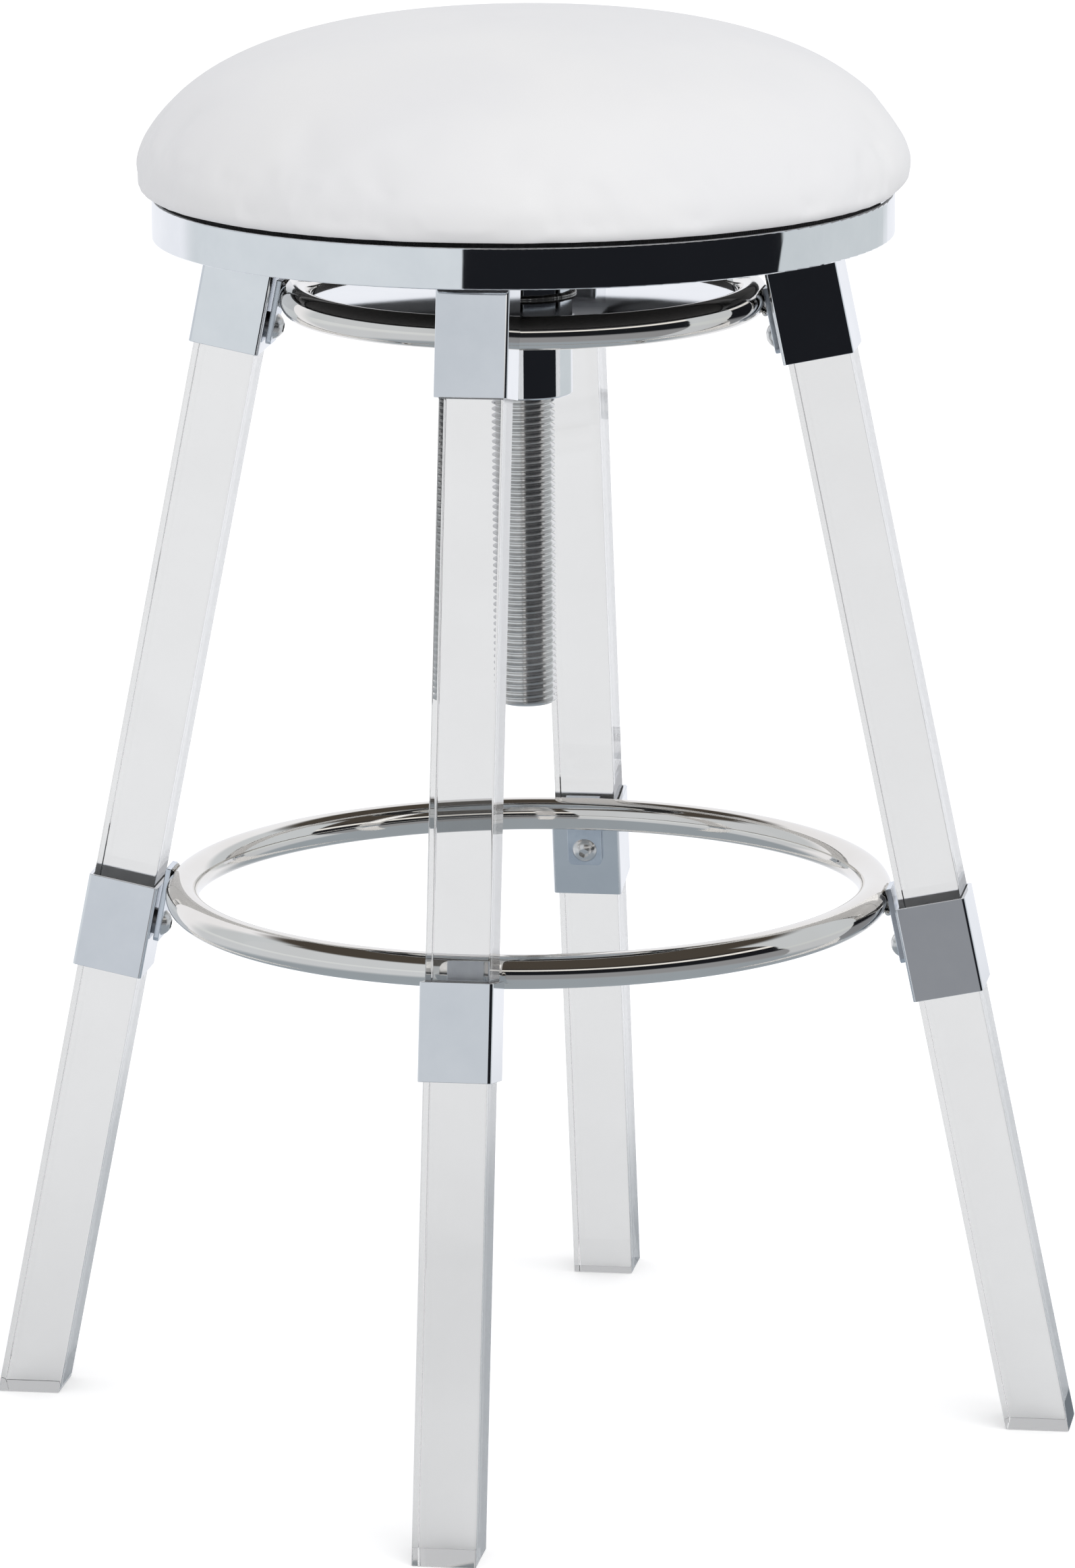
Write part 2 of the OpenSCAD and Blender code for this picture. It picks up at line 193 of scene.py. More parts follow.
def makeSleeveInside():
    # inside a plated sleeve the metal stays dull and grey
    f = Finish("sleeveInside", Metallic=0.35)
    cast = f.noise(40.0, 3.0, 0.6)
    return f.feed(
        Base_Color=f.ramp(cast, (0.3, (0.62, 0.62, 0.63)), (0.7, (0.75, 0.75, 0.76))),
        Roughness=f.between(cast, 0.45, 0.6),
        Normal=f.bump(f.noise(300.0, 2.0), 0.1, 0.0001))


def makeBareSteel():
    f = Finish("bareSteel", Metallic=1.0)
    cast = f.noise(28.0, 5.0, 0.65)
    return f.feed(
        Base_Color=f.ramp(cast, (0.3, (0.30, 0.30, 0.31)), (0.7, (0.42, 0.42, 0.43))),
        Roughness=f.between(cast, 0.28, 0.5),
        Normal=f.bump(f.noise(500.0, 3.0), 0.1, 0.0001))


def makeBlackPaint():
    f = Finish("blackPaint", Specular_IOR_Level=0.5)
    cast = f.noise(45.0, 4.0, 0.6)
    return f.feed(
        Base_Color=f.ramp(cast, (0.3, (0.012, 0.012, 0.013)), (0.75, (0.035, 0.035, 0.037))),
        Roughness=f.between(cast, 0.3, 0.5),
        Normal=f.bump(f.noise(420.0, 3.0), 0.12, 0.0001))


def makeClearAcrylic():
    f = Finish("clearAcrylic", IOR=1.49, Transmission_Weight=1.0)
    haze = f.noise(22.0, 3.0)
    return f.feed(
        Base_Color=f.ramp(haze, (0.3, (0.63, 0.633, 0.635)), (0.7, (0.652, 0.656, 0.658))),
        Roughness=f.between(haze, 0.0, 0.02),
        Normal=f.bump(f.noise(6.0, 1.0), 0.1, 0.0004))


def makeWhiteVinyl():
    # smooth coated cloth: a fine pebble grain, hardly any gloss
    f = Finish("whiteVinyl", Specular_IOR_Level=0.35, Sheen_Weight=0.08, Sheen_Roughness=0.5)
    cast = f.noise(7.0, 3.0, 0.55)
    grain = f.add("ShaderNodeTexVoronoi", {"feature": "DISTANCE_TO_EDGE"},
                  {"Vector": f.place, "Scale": 900.0})
    height = grain * 0.6 + f.noise(300.0, 3.0) * 0.4
    return f.feed(
        Base_Color=f.ramp(cast, (0.3, (0.795, 0.796, 0.806)), (0.7, (0.832, 0.83, 0.828))),
        Roughness=f.between(f.noise(120.0, 3.0), 0.42, 0.56),
        Normal=f.bump(height, 0.12, 0.0003))


def makeUnderCloth():
    f = Finish("blackUndercloth", Specular_IOR_Level=0.2, Sheen_Weight=0.15, Sheen_Roughness=0.6)
    tone = f.noise(260.0, 3.0, 0.7)
    warp = f.add("ShaderNodeTexWave", {"bands_direction": "X"}, {"Vector": f.place, "Scale": 330.0})
    weft = f.add("ShaderNodeTexWave", {"bands_direction": "Y"}, {"Vector": f.place, "Scale": 330.0})
    return f.feed(
        Base_Color=f.ramp(tone, (0.3, (0.008, 0.008, 0.009)), (0.75, (0.03, 0.03, 0.032))),
        Roughness=f.between(tone, 0.75, 0.95),
        Normal=f.bump(warp * weft, 0.5, 0.0003))


def makePlywood():
    f = Finish("seatPlywood", Specular_IOR_Level=0.3)
    grain = f.noise(60.0, 6.0, 0.65, f.stretched((1.0, 14.0, 14.0)), 0.4)
    plies = f.add("ShaderNodeTexWave", {"bands_direction": "Z"},
                  {"Vector": f.place, "Scale": 115.0, "Distortion": 0.4, "Detail": 2.0})
    tone = grain * 0.75 + plies * 0.25
    return f.feed(
        Base_Color=f.ramp(tone, (0.25, (0.30, 0.17, 0.075)), (0.5, (0.50, 0.33, 0.17)),
                          (0.75, (0.66, 0.48, 0.29))),
        Roughness=f.between(grain, 0.55, 0.75),
        Normal=f.bump(grain, 0.25, 0.0004))


def makeNylon():
    f = Finish("washerNylon", Subsurface_Weight=0.1, Subsurface_Scale=0.002)
    cast = f.noise(90.0, 3.0)
    return f.feed(
        Base_Color=f.ramp(cast, (0.3, (0.72, 0.71, 0.66)), (0.7, (0.8, 0.79, 0.74))),
        Roughness=f.between(cast, 0.35, 0.5),
        Normal=f.bump(f.noise(700.0, 2.0), 0.08, 0.0001))


plateChrome, tubeChrome, screwZinc = makePlateChrome(), makeTubeChrome(), makeScrewZinc()
bareSteel, clearAcrylic, whiteVinyl = makeBareSteel(), makeClearAcrylic(), makeWhiteVinyl()
blackPaint, tabPlate, sleeveInside = makeBlackPaint(), makeTabPlate(), makeSleeveInside()
blackUnderCloth, seatPlywood, washerNylon = makeUnderCloth(), makePlywood(), makeNylon()
print("finishes made")


# shared makers

shaping = {"weld": 1e-6, "flatBelow": 0.4, "bevelSteps": 3, "sharpAbove": 30}


def dress(obj, material):
    obj.data.materials.clear()
    obj.data.materials.append(material)


def addPiece(name, mesh, material, body, slot, *replaced):
    piece = bpy.data.objects.new(name, mesh)
    scene.collection.objects.link(piece)
    dress(piece, material)
    mesh.shade_smooth()
    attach(piece, body)
    if replaced:
        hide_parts(*replaced)
    return piece


def meshOf(points, faces, name):
    mesh = bpy.data.meshes.new(name)
    mesh.from_pydata([tuple(p) for p in points], [], faces)
    mesh.validate()
    return mesh


def softenedCopy(node, name, material, body, slot, width, sharpAbove=shaping["sharpAbove"], inset=0.0):
    # the node's own shape with every hard edge rounded over, drawn in by a hair if asked
    work = bmesh.new()
    work.from_mesh(nodes[node].data)
    bmesh.ops.remove_doubles(work, verts=work.verts, dist=shaping["weld"])
    bmesh.ops.dissolve_limit(work, angle_limit=math.radians(shaping["flatBelow"]), verts=work.verts,
                             edges=work.edges)
    drawn = [v.co - v.normal * v.calc_shell_factor() * inset for v in work.verts]
    for v, place in zip(work.verts, drawn):
        v.co = place
    mesh = bpy.data.meshes.new(name)
    work.to_mesh(mesh)
    work.free()
    for layer in ("custom_normal", "sharp_edge"):
        if layer in mesh.attributes:
            mesh.attributes.remove(mesh.attributes[layer])
    piece = addPiece(name, mesh, material, body, slot, node)
    edge = piece.modifiers.new("edge", "BEVEL")
    edge.width, edge.segments, edge.limit_method = width, shaping["bevelSteps"], "ANGLE"
    edge.angle_limit, edge.use_clamp_overlap = math.radians(sharpAbove), True
    even = piece.modifiers.new("even", "WEIGHTED_NORMAL")
    even.keep_sharp = False
    return piece


def lineInside(piece, material):
    # faces that look toward the middle of a hollow part take the second material
    mesh = piece.data
    mesh.materials.append(material)
    middle = sum((v.co for v in mesh.vertices), Vector()) / len(mesh.vertices)
    for face in mesh.polygons:
        face.material_index = int((face.center - middle).dot(face.normal) < 0)


def grownMesh(tree, name, source=None, **sizes):
    # runs a Geometry Nodes tree once and keeps its result as a plain mesh
    carrier = bpy.data.objects.new(name + "_seed", source or bpy.data.meshes.new(name))
    scene.collection.objects.link(carrier)
    modifier = carrier.modifiers.new("grow", "NODES")
    modifier.node_group = tree
    for item in tree.interface.items_tree:
        if item.item_type == "SOCKET" and item.in_out == "INPUT" and item.name in sizes:
            modifier[item.identifier] = sizes[item.name]
    grown = bpy.data.meshes.new_from_object(
        carrier.evaluated_get(bpy.context.evaluated_depsgraph_get()))
    grown.name = name
    carrier.modifiers.clear()
    bpy.data.objects.remove(carrier)
    return grown


def newTree(name, **inputs):
    tree = bpy.data.node_groups.new(name, "GeometryNodeTree")
    tree.interface.new_socket("Geometry", in_out="OUTPUT", socket_type="NodeSocketGeometry")
    tree.interface.new_socket("Geometry", in_out="INPUT", socket_type="NodeSocketGeometry")
    for label, kind in inputs.items():
        tree.interface.new_socket(label, in_out="INPUT", socket_type=kind)
    bench = Bench(tree)
    first = bench.add("NodeGroupInput")
    given = {s.name: Wire(bench, s) for s in first.socket.node.outputs if s.name}
    return tree, bench, given


def closeTree(bench, geometry, material):
    real = bench.add("GeometryNodeRealizeInstances", None, {0: geometry})
    smooth = bench.add("GeometryNodeSetShadeSmooth", None, {"Geometry": real})
    dressed = bench.add("GeometryNodeSetMaterial", None, {"Geometry": smooth, "Material": material})
    bench.tree.links.new(dressed.socket, bench.tree.nodes.new("NodeGroupOutput").inputs[0])


# camera

view = {
    "standOff": 4.3002, "height": 1.2936, "azimuth": -80.94,
    "down": 12.474, "pan": -0.045, "roll": -0.464,
    "lens": 189.32375, "sensor": 36.0, "shiftX": 0.010154905, "shiftY": 0.001678141, "farthest": 100,
}


def placeCamera():
    turn = math.radians(view["azimuth"] + 90)
    pan, down, roll = (math.radians(view[k]) for k in ("pan", "down", "roll"))
    ahead = Vector((math.sin(pan) * math.cos(down), math.cos(pan) * math.cos(down), -math.sin(down)))
    right = Vector((math.cos(pan), -math.sin(pan), 0))
    up = right.cross(ahead)
    side = right * math.cos(roll) + up * math.sin(roll)
    top = up * math.cos(roll) - right * math.sin(roll)
    facing = Matrix((side, top, -ahead)).transposed()
    spin = Matrix.Rotation(turn, 3, "Z")
    data = bpy.data.cameras.new("camera")
    data.sensor_width, data.lens = view["sensor"], view["lens"]
    data.shift_x, data.shift_y = view["shiftX"], view["shiftY"]
    data.clip_end = view["farthest"]
    camera = bpy.data.objects.new("camera", data)
    camera.matrix_world = Matrix.Translation(
        spin @ Vector((0, -view["standOff"], view["height"]))) @ (spin @ facing).to_4x4()
    scene.collection.objects.link(camera)
    scene.camera = camera


placeCamera()
print("camera placed")


# floor and light, and what the chrome mirrors

studio = {
    "floorHalf": 30.0, "floorDrop": 0.3 * mm, "glow": 0.27, "ambient": (0.80, 0.80, 0.81),
    "sunFrom": (0.8, -0.85, 1.0), "sunStrength": 0.92, "sunAngle": 70.0,
}

# bearings and rises in degrees, seen from the stool; reaches in metres along the floor
mirrored = {
    "domeRadius": 12.0, "domeHeight": 0.5, "floorRadius": 6.0, "sides": 96, "bands": 48, "floorView": 0.3,
    "darkFrom": -98.75, "darkLean": 0.105, "darkTo": 2.0, "darkEdge": 0.25, "darkEnd": 0.4,
    "room": (0.012, 0.013, 0.016), "ceiling": (0.07, 0.06, 0.05), "ceilingFrom": 18.0, "ceilingFull": 34.0,
    "lightBar": (0.95, 0.94, 0.92), "barLow": 13.0, "barHigh": 21.0, "barEdge": 1.0, "barFade": 1.5,
    "panel": (0.64, 0.675, 0.715), "panelTop": 38.0, "sweep": (0.62, 0.66, 0.70), "sweepTop": 42.0,
    "topBelow": -3.0, "topAbove": 6.0,
    "edgeOn": (0.93, 0.945, 0.99), "edgeFrom": 62.0, "edgeTo": 74.0, "edgeEnd": 164.0, "edgeFade": 148.0,
    "edgeNear": 0.4, "edgeReach": 0.9, "backEnd": 165.0, "backFade": 150.0,
    "leftNear": (0.645, 0.68, 0.725), "leftFar": (0.74, 0.78, 0.81),
    "backNear": (0.60, 0.63, 0.67), "backFar": (0.66, 0.70, 0.72), "farReach": 1.25, "farFull": 2.3,
    "nearFloor": (0.295, 0.305, 0.325), "darkReach": 1.3, "darkFull": 2.3, "darkNear": 0.15, "darkOut": 0.6,
    # next line: a painted shadow, the darker, bluer floor close under the stool as the chrome mirrors it
    "shadowBeneath": (0.34, 0.385, 0.43), "beneathReach": 0.40, "beneathFull": 0.62,
}


def stageObject(name, mesh, onlyMirrored):
    # scenery; some of it shows only in reflections
    obj = bpy.data.objects.new(name, mesh)
    scene.collection.objects.link(obj)
    if onlyMirrored:
        obj.visible_camera = obj.visible_diffuse = obj.visible_transmission = False
        obj.visible_shadow = obj.visible_volume_scatter = False
    return obj


def glowBench(name):
    # an emission shader whose colour is worked out from Object coordinates
    material = bpy.data.materials.new(name)
    material.use_nodes = True
    material.cycles.emission_sampling = "NONE"
    material.node_tree.nodes.clear()
    bench = Bench(material.node_tree)
    place = bench.add("ShaderNodeTexCoord", output="Object")
    axes = bench.many("ShaderNodeSeparateXYZ", None, {0: place}, "X", "Y", "Z")
    return material, bench, axes


def closeGlow(bench, colour):
    glow = bench.add("ShaderNodeEmission", None, {"Color": colour})
    bench.tree.links.new(glow.socket, bench.tree.nodes.new("ShaderNodeOutputMaterial").inputs[0])


def blendColour(bench, factor, low, high):
    low, high = (c if isinstance(c, Wire) else (*c, 1.0) for c in (low, high))
    return bench.add("ShaderNodeMix", {"data_type": "RGBA"}, {0: factor, 6: low, 7: high}, 2)


def softStep(bench, value, start, stop):
    return bench.add("ShaderNodeMapRange", {"interpolation_type": "SMOOTHSTEP"},
                     {"Value": value, "From Min": start, "From Max": stop})


def bearings(bench, x, y, z, height):
    azimuth = bench.add("ShaderNodeMath", {"operation": "ARCTAN2"}, {0: y, 1: x}) * math.degrees(1)
    reach = bench.add("ShaderNodeMath", {"operation": "SQRT"}, {0: x * x + y * y})
    rise = bench.add("ShaderNodeMath", {"operation": "ARCTAN2"}, {0: z - height, 1: reach}) * math.degrees(1)
    return azimuth, reach, rise


def darkSide(bench, azimuth, rise):
    # 1 over the open, unlit side of the studio
    start = rise * mirrored["darkLean"] + mirrored["darkFrom"]
    stop, edge, end = mirrored["darkTo"], mirrored["darkEdge"], mirrored["darkEnd"]
    past = softStep(bench, azimuth - start, -edge, edge)
    return past * softStep(bench, azimuth, stop + end, stop - end)


def edgeSide(bench, azimuth):
    # 1 behind the stool, where surfaces seen nearly edge-on look
    past = softStep(bench, azimuth, mirrored["edgeFrom"], mirrored["edgeTo"])
    return past * softStep(bench, azimuth, mirrored["edgeEnd"], mirrored["edgeFade"])


def plainStage():
    half = studio["floorHalf"]
    drop = -studio["floorDrop"]  # a hair below the feet, so that clear feet show their own undersides
    floor = stageObject("floor", meshOf(
        [(-half, -half, drop), (half, -half, drop), (half, half, drop), (-half, half, drop)],
        [(0, 1, 2, 3)], "floor"), False)
    floor.visible_glossy = floor.visible_diffuse = False
    paint = Finish("palePaper", Roughness=0.9, Specular_IOR_Level=0.0,
                   Emission_Color=(1.0, 1.0, 1.0, 1.0), Emission_Strength=studio["glow"])
    tone = paint.noise(3.0, 2.0)
    dress(floor, paint.feed(Base_Color=paint.ramp(tone, (0.3, (0.955, 0.955, 0.955)),
                                                  (0.7, (0.965, 0.965, 0.965)))))
    world = bpy.data.worlds.new("studio")
    scene.world = world
    world.use_nodes = True
    world.node_tree.nodes["Background"].inputs["Color"].default_value = (*studio["ambient"], 1)
    sun = bpy.data.lights.new("softSun", "SUN")
    sun.energy, sun.angle = studio["sunStrength"], math.radians(studio["sunAngle"])
    lamp = bpy.data.objects.new("softSun", sun)
    lamp.rotation_euler = Vector(studio["sunFrom"]).to_track_quat("Z", "Y").to_euler()
    lamp.visible_glossy = False
    scene.collection.objects.link(lamp)


def mirroredDome():
    ball = bmesh.new()
    bmesh.ops.create_uvsphere(ball, u_segments=mirrored["sides"], v_segments=mirrored["bands"],
                              radius=mirrored["domeRadius"])
    bmesh.ops.translate(ball, verts=ball.verts, vec=(0, 0, mirrored["domeHeight"]))
    mesh = bpy.data.meshes.new("mirroredDome")
    ball.to_mesh(mesh)
    ball.free()
    dome = stageObject("mirroredDome", mesh, True)
    material, bench, (x, y, z) = glowBench("mirroredDome")
    azimuth, _, rise = bearings(bench, x, y, z, mirrored["domeHeight"])
    back = softStep(bench, azimuth, mirrored["darkTo"] - 1, mirrored["darkTo"] + 1)
    lit = blendColour(bench, back, mirrored["panel"], mirrored["sweep"])
    lit = blendColour(bench, edgeSide(bench, azimuth), lit, mirrored["edgeOn"])
    top = back * (mirrored["sweepTop"] - mirrored["panelTop"]) + mirrored["panelTop"]
    above = softStep(bench, rise - top, mirrored["topBelow"], mirrored["topAbove"])
    lit = blendColour(bench, above, lit, mirrored["ceiling"])
    low, high = mirrored["barLow"], mirrored["barHigh"]
    bar = softStep(bench, rise, low - mirrored["barEdge"], low + mirrored["barEdge"]) * softStep(
        bench, rise, high + mirrored["barFade"], high - mirrored["barFade"])
    upward = softStep(bench, rise, mirrored["ceilingFrom"], mirrored["ceilingFull"])
    dark = blendColour(bench, upward, mirrored["room"], mirrored["ceiling"])
    dark = blendColour(bench, bar, dark, mirrored["lightBar"])
    closeGlow(bench, blendColour(bench, darkSide(bench, azimuth, rise), lit, dark))
    dress(dome, material)


def mirroredFloor():
    disc = bmesh.new()
    bmesh.ops.create_circle(disc, cap_ends=True, segments=mirrored["sides"], radius=mirrored["floorRadius"])
    bmesh.ops.translate(disc, verts=disc.verts, vec=(0, 0, -studio["floorDrop"] / 2))
    mesh = bpy.data.meshes.new("mirroredFloor")
    disc.to_mesh(mesh)
    disc.free()
    floor = stageObject("mirroredFloor", mesh, True)
    material, bench, (x, y, z) = glowBench("mirroredFloor")
    azimuth, reach, rise = bearings(bench, x, y, z, mirrored["floorView"])
    far = softStep(bench, reach, mirrored["darkReach"], mirrored["darkFull"])
    dark = blendColour(bench, far, mirrored["nearFloor"], mirrored["room"])
    side = darkSide(bench, azimuth, rise) * softStep(bench, reach, mirrored["darkNear"], mirrored["darkOut"])
    away = softStep(bench, reach, mirrored["farReach"], mirrored["farFull"])
    left = blendColour(bench, away, mirrored["leftNear"], mirrored["leftFar"])
    back = blendColour(bench, away, mirrored["backNear"], mirrored["backFar"])
    outer = softStep(bench, reach, mirrored["edgeNear"], mirrored["edgeReach"])
    back = blendColour(bench, edgeSide(bench, azimuth) * outer, back, mirrored["edgeOn"])
    behind = softStep(bench, azimuth, -1.0, 1.0) * softStep(
        bench, azimuth, mirrored["backEnd"], mirrored["backFade"])
    around = blendColour(bench, side, blendColour(bench, behind, left, back), dark)
    # close under the stool the mirrored floor takes a painted shadow colour in place of the lit floor around
    # it
    outward = softStep(bench, reach, mirrored["beneathReach"], mirrored["beneathFull"])
    closeGlow(bench, blendColour(bench, outward, mirrored["shadowBeneath"], around))
    dress(floor, material)


plainStage()
mirroredDome()
mirroredFloor()
scene.view_settings.view_transform = "Standard"
print("stage set")


# rings of bent tube

rings = {
    "foot_ring": {"name": "footRing", "segments": 360, "sides": 48},
    "deck_ring": {"name": "deckRing", "segments": 288, "sides": 48},
}


def makeRingTree():
    tree, bench, given = newTree(
        "bentTube", Radius="NodeSocketFloat", Tube="NodeSocketFloat", Height="NodeSocketFloat",
        Segments="NodeSocketInt", Sides="NodeSocketInt", Material="NodeSocketMaterial")
    path = bench.add("GeometryNodeCurvePrimitiveCircle", None,
                     {"Resolution": given["Segments"], "Radius": given["Radius"]})
    section = bench.add("GeometryNodeCurvePrimitiveCircle", None,
                        {"Resolution": given["Sides"], "Radius": given["Tube"]})
    tube = bench.add("GeometryNodeCurveToMesh", None, {"Curve": path, "Profile Curve": section})
    lift = bench.add("ShaderNodeCombineXYZ", None, {"Z": given["Height"]})
    moved = bench.add("GeometryNodeTransform", None, {"Geometry": tube, "Translation": lift})
    closeTree(bench, moved, given["Material"])
    return tree


ringTree = makeRingTree()
for node, plan in rings.items():
    low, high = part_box(node)
    tube = (high.z - low.z) / 2
    mesh = grownMesh(ringTree, plan["name"], Radius=(high.x - low.x) / 2 - tube, Tube=tube,
                     Height=(high.z + low.z) / 2, Segments=plan["segments"], Sides=plan["sides"],
                     Material=tubeChrome)
    addPiece(plan["name"], mesh, tubeChrome, "frame", "chrome", node)
print("rings bent")


# lifting screw

# crest, root and depth are shares of the pitch
thread = {"pitch": 3.5 * mm, "depth": 0.6134, "crest": 0.125, "root": 0.2, "shank": 9 * mm, "columns": 72,
          "spareTurns": 2.5, "tipLead": 1.6 * mm, "tipShare": 0.9, "runOut": 0.4 * mm, "sharpEdge": 28}


def makeThreadTree():
    # a grid wrapped round the axis, each row one step up the helix
    tree, bench, given = newTree(
        "screwThread", Radius="NodeSocketFloat", Pitch="NodeSocketFloat", Depth="NodeSocketFloat",
        Low="NodeSocketFloat", Columns="NodeSocketInt", Rows="NodeSocketInt",
        Material="NodeSocketMaterial")
    grid = bench.add("GeometryNodeMeshGrid", None, {
        "Size X": 1.0, "Size Y": 1.0, "Vertices X": given["Columns"] + 1.0, "Vertices Y": given["Rows"]})
    index = bench.add("GeometryNodeInputIndex")
    row = index % given["Rows"]
    column = bench.add("ShaderNodeMath", {"operation": "FLOOR"}, {0: index / given["Rows"] + 0.0001})
    turn = column / given["Columns"]
    angle = turn * math.tau
    # four corners to a pitch: crest start, crest end, root start, root end
    step = row % 4.0
    pitches = bench.add("ShaderNodeMath", {"operation": "FLOOR"}, {0: row / 4.0 + 0.0001})
    flank = (1 - thread["crest"] - thread["root"]) / 2
    atOne = bench.add("ShaderNodeMath", {"operation": "GREATER_THAN"}, {0: step, 1: 0.5})
    atTwo = bench.add("ShaderNodeMath", {"operation": "GREATER_THAN"}, {0: step, 1: 1.5})
    atThree = bench.add("ShaderNodeMath", {"operation": "GREATER_THAN"}, {0: step, 1: 2.5})
    share = atOne * thread["crest"] + atTwo * flank + atThree * thread["root"]
    height = (pitches + share + turn) * given["Pitch"] + given["Low"]
    radius = given["Radius"] - atTwo * given["Depth"]
    x = bench.add("ShaderNodeMath", {"operation": "COSINE"}, {0: angle}) * radius
    y = bench.add("ShaderNodeMath", {"operation": "SINE"}, {0: angle}) * radius
    place = bench.add("ShaderNodeCombineXYZ", None, {"X": x, "Y": y, "Z": height})
    wrapped = bench.add("GeometryNodeSetPosition", None, {"Geometry": grid, "Position": place})
    sewn = bench.add("GeometryNodeMergeByDistance", None, {"Geometry": wrapped, "Distance": 0.00001})
    closeTree(bench, sewn, given["Material"])
    return tree


def makeLiftScrew():
    low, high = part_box("lift_screw")
    radius = (high.x - low.x) / 2
    pitch = thread["pitch"]
    depth = thread["depth"] * pitch
    threadTop = high.z - thread["shank"]
    start = low.z - thread["spareTurns"] * pitch
    rows = int((threadTop - start) / pitch + 2) * 4 + 1
    mesh = grownMesh(makeThreadTree(), "liftScrew", Radius=radius, Pitch=pitch, Depth=depth, Low=start,
                     Columns=thread["columns"], Rows=rows, Material=screwZinc)
    work = bmesh.new()
    work.from_mesh(mesh)
    for z, sign in ((low.z, -1), (threadTop, 1)):
        cut = bmesh.ops.bisect_plane(
            work, geom=work.verts[:] + work.edges[:] + work.faces[:], dist=1e-7,
            plane_co=(0, 0, z), plane_no=(0, 0, sign), clear_outer=True)
        rim = [e for e in cut["geom_cut"] if isinstance(e, bmesh.types.BMEdge)]
        if sign < 0:
            # a short cone breaks the first thread at the tip
            for v in work.verts:
                reach = Vector((v.co.x, v.co.y)).length
                most = radius - depth * thread["tipShare"] + (v.co.z - z) * depth / thread["tipLead"]
                if reach > most:
                    v.co.x *= most / reach
                    v.co.y *= most / reach
            bmesh.ops.contextual_create(work, geom=rim)
        else:
            # plain shank from the thread's end up to the plate
            shank = bmesh.ops.extrude_edge_only(work, edges=rim)
            rimTop = [v for v in shank["geom"] if isinstance(v, bmesh.types.BMVert)]
            for v in rimTop:
                flat = Vector((v.co.x, v.co.y)).normalized() * radius
                v.co = Vector((flat.x, flat.y, z + thread["runOut"]))
            ends = [e for e in shank["geom"] if isinstance(e, bmesh.types.BMEdge)]
            up = bmesh.ops.extrude_edge_only(work, edges=ends)
            for v in up["geom"]:
                if isinstance(v, bmesh.types.BMVert):
                    v.co.z = high.z
            lid = [e for e in up["geom"] if isinstance(e, bmesh.types.BMEdge)]
            bmesh.ops.contextual_create(work, geom=lid)
    bmesh.ops.recalc_face_normals(work, faces=work.faces)
    for e in work.edges:
        e.smooth = e.calc_face_angle(0) < math.radians(thread["sharpEdge"])
    work.to_mesh(mesh)
    work.free()
    addPiece("liftScrew", mesh, screwZinc, "seat", "zinc_screw", "lift_screw")


makeLiftScrew()
print("screw cut")


# weld beads

# fat and inset are shares of a bead's radius, hubOut and hubUp of the hub bead's
weld = {"step": 0.75 * mm, "fat": 1.22, "inset": 0.6, "flat": 0.8, "smallest": 0.88, "largest": 1.12,
        "seed": 7, "hubBead": 1.7 * mm, "hubOut": 0.35, "hubUp": 0.3, "hubSteps": 120, "axisRounds": 3}


def makeBeadTree():
    # overlapping drops laid along every path; each path carries its own thickness
    tree, bench, given = newTree("weldBead", Step="NodeSocketFloat", Smallest="NodeSocketFloat",
                                 Largest="NodeSocketFloat", Seed="NodeSocketInt",
                                 Material="NodeSocketMaterial")
    thick = bench.add("GeometryNodeInputNamedAttribute", {"data_type": "FLOAT"}, {"Name": "thick"})
    curve = bench.add("GeometryNodeMeshToCurve", None, {"Mesh": given["Geometry"]})
    points, turned = bench.many("GeometryNodeCurveToPoints", {"mode": "LENGTH"},
                                {"Curve": curve, "Length": given["Step"]}, "Points", "Rotation")
    drop = bench.add("GeometryNodeMeshIcoSphere", None, {"Radius": 1.0, "Subdivisions": 3})
    chance = bench.add("FunctionNodeRandomValue", {"data_type": "FLOAT"},
                       {2: given["Smallest"], 3: given["Largest"], "Seed": given["Seed"]}, 1)
    size = bench.add("ShaderNodeVectorMath", {"operation": "SCALE"},
                     {0: (1.0, 1.0, weld["flat"]), "Scale": thick * chance})
    laid = bench.add("GeometryNodeInstanceOnPoints", None, {
        "Points": points, "Instance": drop, "Rotation": turned, "Scale": size})
    closeTree(bench, laid, given["Material"])
    return tree


def islandEnds(node):
    # the two end points and the radius of every straight rod in a node
    work = bmesh.new()
    work.from_mesh(nodes[node].data)
    bmesh.ops.remove_doubles(work, verts=work.verts, dist=shaping["weld"])
    left = set(work.verts)
    rods = []
    for start in work.verts:
        if start not in left:
            continue
        left.remove(start)
        grow, island = [start], []
        while grow:
            v = grow.pop()
            island.append(v.co.copy())
            for e in v.link_edges:
                other = e.other_vert(v)
                if other in left:
                    left.remove(other)
                    grow.append(other)
        first = island[0]
        far = max(island, key=lambda p: (p - first).length)
        axis = (far - first).normalized()
        for _ in range(weld["axisRounds"]):
            middle = sum(island, Vector()) / len(island)
            low = [p for p in island if (p - middle).dot(axis) < 0]
            high = [p for p in island if (p - middle).dot(axis) >= 0]
            a, b = sum(low, Vector()) / len(low), sum(high, Vector()) / len(high)
            axis = (b - a).normalized()
        radius = max(((p - middle) - axis * (p - middle).dot(axis)).length for p in island)
        rods.append((a, b, radius))
    work.free()
    return rods


